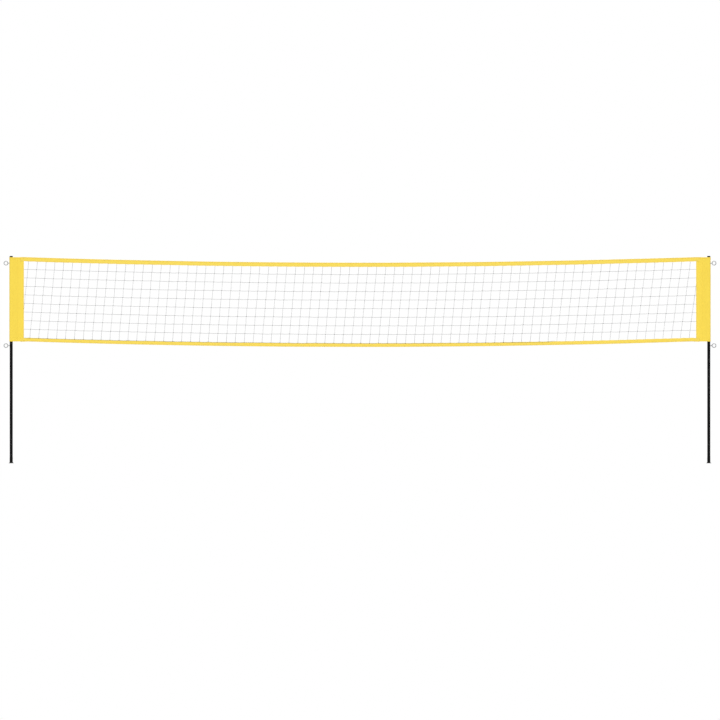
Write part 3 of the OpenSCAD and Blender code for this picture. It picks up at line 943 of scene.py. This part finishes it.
def stitches(name, lines):
    """Thread along lines of (x, y, z) points."""
    points, edges = [], []
    for line in lines:
        first = len(points)
        points += line
        edges += [(first + i, first + i + 1) for i in range(len(line) - 1)]
    mesh = bpy.data.meshes.new(name)
    mesh.from_pydata(points, edges, [])
    sewn = grown(name, mesh, STITCHING, STITCH)
    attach(sewn, NET_BODY)
    return sewn


def tape_seams(name, height, bottom=False):
    """Stitches on both faces of a tape: along its fold and its open edge, and a crossed box at each end."""
    up = 1 if bottom else -1
    near, far = OPEN_HALF + END_SEAM, OPEN_HALF + TAPE_LAP - END_SEAM
    xs = np.unique(np.concatenate([np.linspace(-far, far, 241), [-near, near]]))
    first, last = FOLD_SEAM, height - OPEN_SEAM

    def seam(points):
        """A line of (x, depth) points on each face."""
        return [[(x, face * (NET_GAP + CLOTH + THREAD_OUT + lap(x)), tape_edge(x, bottom) + up * depth)
                 for x, depth in points] for face in (-1, 1)]

    lines = seam([(x, first) for x in xs]) + seam([(x, last) for x in xs])
    for side in (-1, 1):
        box = np.linspace(side * near, side * far, 12)
        down = np.linspace(first, last, 12)
        lines += seam([(box[0], d) for d in down]) + seam([(box[-1], d) for d in down])
        lines += seam(list(zip(box, down))) + seam(list(zip(box, down[::-1])))
    return stitches(name, lines)


def band_seams(name, side):
    """Stitches down a side band: by the netting, where the sleeve closes, and round its two hems."""
    lines = []

    def down(places, first, last, out):
        """Lines of stitches down both faces of the band, at each place across it."""
        heights = np.linspace(first, last, 60)
        for x in places:
            for face in (-1, 1):
                lines.append([(side * (POLE_X - x), face * out, z) for z in heights])

    down((MOUTH_X + 0.003, BAND_IN - 0.003), NET_LOW + BOTTOM_TAPE_H + END_SEAM,
         NET_TOP - TOP_TAPE_H - END_SEAM, NET_GAP + CLOTH + 0.0002)
    down((SEAM_X + 0.002, SEAM_X + 0.010), NET_LOW + END_SEAM, NET_TOP - END_SEAM, CLOTH + THREAD_OUT)
    for z in (NET_LOW + HEM_SEAM, NET_TOP - HEM_SEAM):
        section = thickened(band_line(z, side), CLOTH + THREAD_OUT)
        half = len(section) // 2
        outer = max(section[:half], section[half:], key=lambda run: np.linalg.norm(run, axis=1).min())
        lines.append([(side * (POLE_X - x), y, z) for x, y in outer if x < BAND_IN - TAPE_LAP - 0.002])
    return stitches(name, lines)


# ---- Threads of the eye bolts ----

THREADING = {"Length": 0.0088, "Pitch": 0.0015, "Radius": 0.0050}
# Thickness of a thread's ridge, as a share of the pitch
RIDGE_SHARE = 0.32
# How far from the pole's axis the middle of the bare thread lies
BARE_THREAD_OUT = 0.0240


def thread_tree(inputs):
    """A screw thread along X, centred on each point of a mesh."""
    tree, given = new_tree("screw_thread", inputs)
    m = math_of(tree)
    helix = tree.add("GeometryNodeCurveSpiral", named={
        "Resolution": 20, "Rotations": m("DIVIDE", given["Length"], given["Pitch"]),
        "Start Radius": given["Radius"], "End Radius": given["Radius"], "Height": given["Length"]})
    half = m("MULTIPLY", given["Length"], -0.5)
    centred = tree.add("GeometryNodeTransform", helix, named={
        "Translation": tree.add("ShaderNodeCombineXYZ", 0.0, 0.0, half)})
    turned = tree.add("GeometryNodeTransform", centred, named={"Rotation": (0.0, math.pi / 2, 0.0)})
    ridge = tree.add("GeometryNodeCurvePrimitiveCircle", named={
        "Resolution": 4, "Radius": m("MULTIPLY", given["Pitch"], RIDGE_SHARE)})
    ridges = tree.add("GeometryNodeCurveToMesh", turned, ridge, named={"Fill Caps": True})
    spots = tree.add("GeometryNodeMeshToPoints", given["Geometry"])
    # The threads take the lighter zinc, whose colour is painted light
    finish_tree(tree, tree.add("GeometryNodeInstanceOnPoints", spots, named={"Instance": ridges}), THREAD_ZINC_PAINTED_LIGHT)
    return tree


THREADS = thread_tree(THREADING)


def bolt_threads(name, height, body):
    """The screw threads that show between the eyes and the poles at one height."""
    mesh = bpy.data.meshes.new(name)
    mesh.from_pydata([(side * (POLE_X + BARE_THREAD_OUT), 0.0, height) for side in (-1, 1)], [], [])
    threads = grown(name, mesh, THREADS, THREADING)
    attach(threads, body)


# ---- Studio ----

VIEW_W = 8.474
CAMERA_PLACE = (0.0, -20.0, 1.2151)
FLOOR_HALF = 30
# Name, strength, spread in degrees and turn in degrees of each lamp
LAMPS = (("key", 1.36, 40, (50, 0, 0)), ("fill", 0.45, 60, (55, 0, 150)))
# Strength of the world on the object. The camera and glossy surfaces see it at 1.
AMBIENT = 0.62
# How much the floor shines of itself to the camera, on top of the light that falls on it
FLOOR_GLOW = 0.22


def camera():
    """A camera square on to the net, without perspective."""
    scene = bpy.context.scene
    eye = bpy.data.objects.new("camera", bpy.data.cameras.new("camera"))
    eye.data.type = "ORTHO"
    eye.data.ortho_scale = VIEW_W
    eye.data.clip_end = 100
    eye.location = CAMERA_PLACE
    eye.rotation_euler = (math.pi / 2, 0, 0)
    scene.collection.objects.link(eye)
    scene.camera = eye


def lights():
    """Soft lamps and a white world."""
    scene = bpy.context.scene
    scene.view_settings.view_transform = "Standard"
    for name, energy, spread, turn in LAMPS:
        sun = bpy.data.objects.new(name, bpy.data.lights.new(name, "SUN"))
        sun.data.energy = energy
        sun.data.angle = math.radians(spread)
        sun.rotation_euler = [math.radians(a) for a in turn]
        scene.collection.objects.link(sun)
    world = bpy.data.worlds.new("world")
    scene.world = world
    world.use_nodes = True
    tree = Tree(world.node_tree)
    m = math_of(tree)
    path = tree.add("ShaderNodeLightPath", out=None).outputs
    seen = m("MAXIMUM", path["Is Camera Ray"],
             m("MAXIMUM", path["Is Glossy Ray"], path["Is Transmission Ray"]))
    strength = tree.add("ShaderNodeMapRange", seen, 0.0, 1.0, AMBIENT, 1.0)
    back = world.node_tree.nodes["Background"]
    back.inputs["Color"].default_value = (1, 1, 1, 1)
    world.node_tree.links.new(strength, back.inputs["Strength"])


def white_floor():
    """The floor, which the camera sees as white with the object's shadow on it."""
    mesh = bpy.data.meshes.new("floor")
    corners = [(x * FLOOR_HALF, y * FLOOR_HALF, 0) for x, y in ((-1, -1), (1, -1), (1, 1), (-1, 1))]
    mesh.from_pydata(corners, [], [(0, 1, 2, 3)])
    floor = placed("floor", mesh)
    material, tree, shader = finish_material("floor_white", Roughness=0.9, Specular_IOR_Level=0.0,
                                             Base_Color=(0.82, 0.82, 0.82, 1),
                                             Emission_Color=(1, 1, 1, 1))
    seen = tree.add("ShaderNodeLightPath", out="Is Camera Ray")
    glow = math_of(tree)("MULTIPLY", seen, FLOOR_GLOW)
    tree.tree.links.new(glow, shader.inputs["Emission Strength"])
    mesh.materials.append(material)


camera()
lights()
white_floor()
finish_hard_pieces()
knotted_netting()
top_tape, top_cut, top_run = folded_tape("folded_top_tape", "top_tape", TOP_TAPE_H)
bottom_tape, bottom_cut, bottom_run = folded_tape("folded_bottom_tape", "bottom_tape", BOTTOM_TAPE_H, True)
hem_cord("braided_headline", "headline_cord")
hem_cord("braided_footline", "footline_cord", True)
left_band, band_cut = side_band("left_sleeve_band", "left_net_band", -1)
right_band, band_cut = side_band("right_sleeve_band", "right_net_band", 1)
top_seams = tape_seams("top_tape_stitches", TOP_TAPE_H)
bottom_seams = tape_seams("bottom_tape_stitches", BOTTOM_TAPE_H, True)
left_seams = band_seams("left_band_stitches", -1)
right_seams = band_seams("right_band_stitches", 1)
bolt_threads("upper_bolt_threads", UPPER_EYE_Z, NET_BODY)
bolt_threads("lower_bolt_threads", LOWER_EYE_Z, "middles")
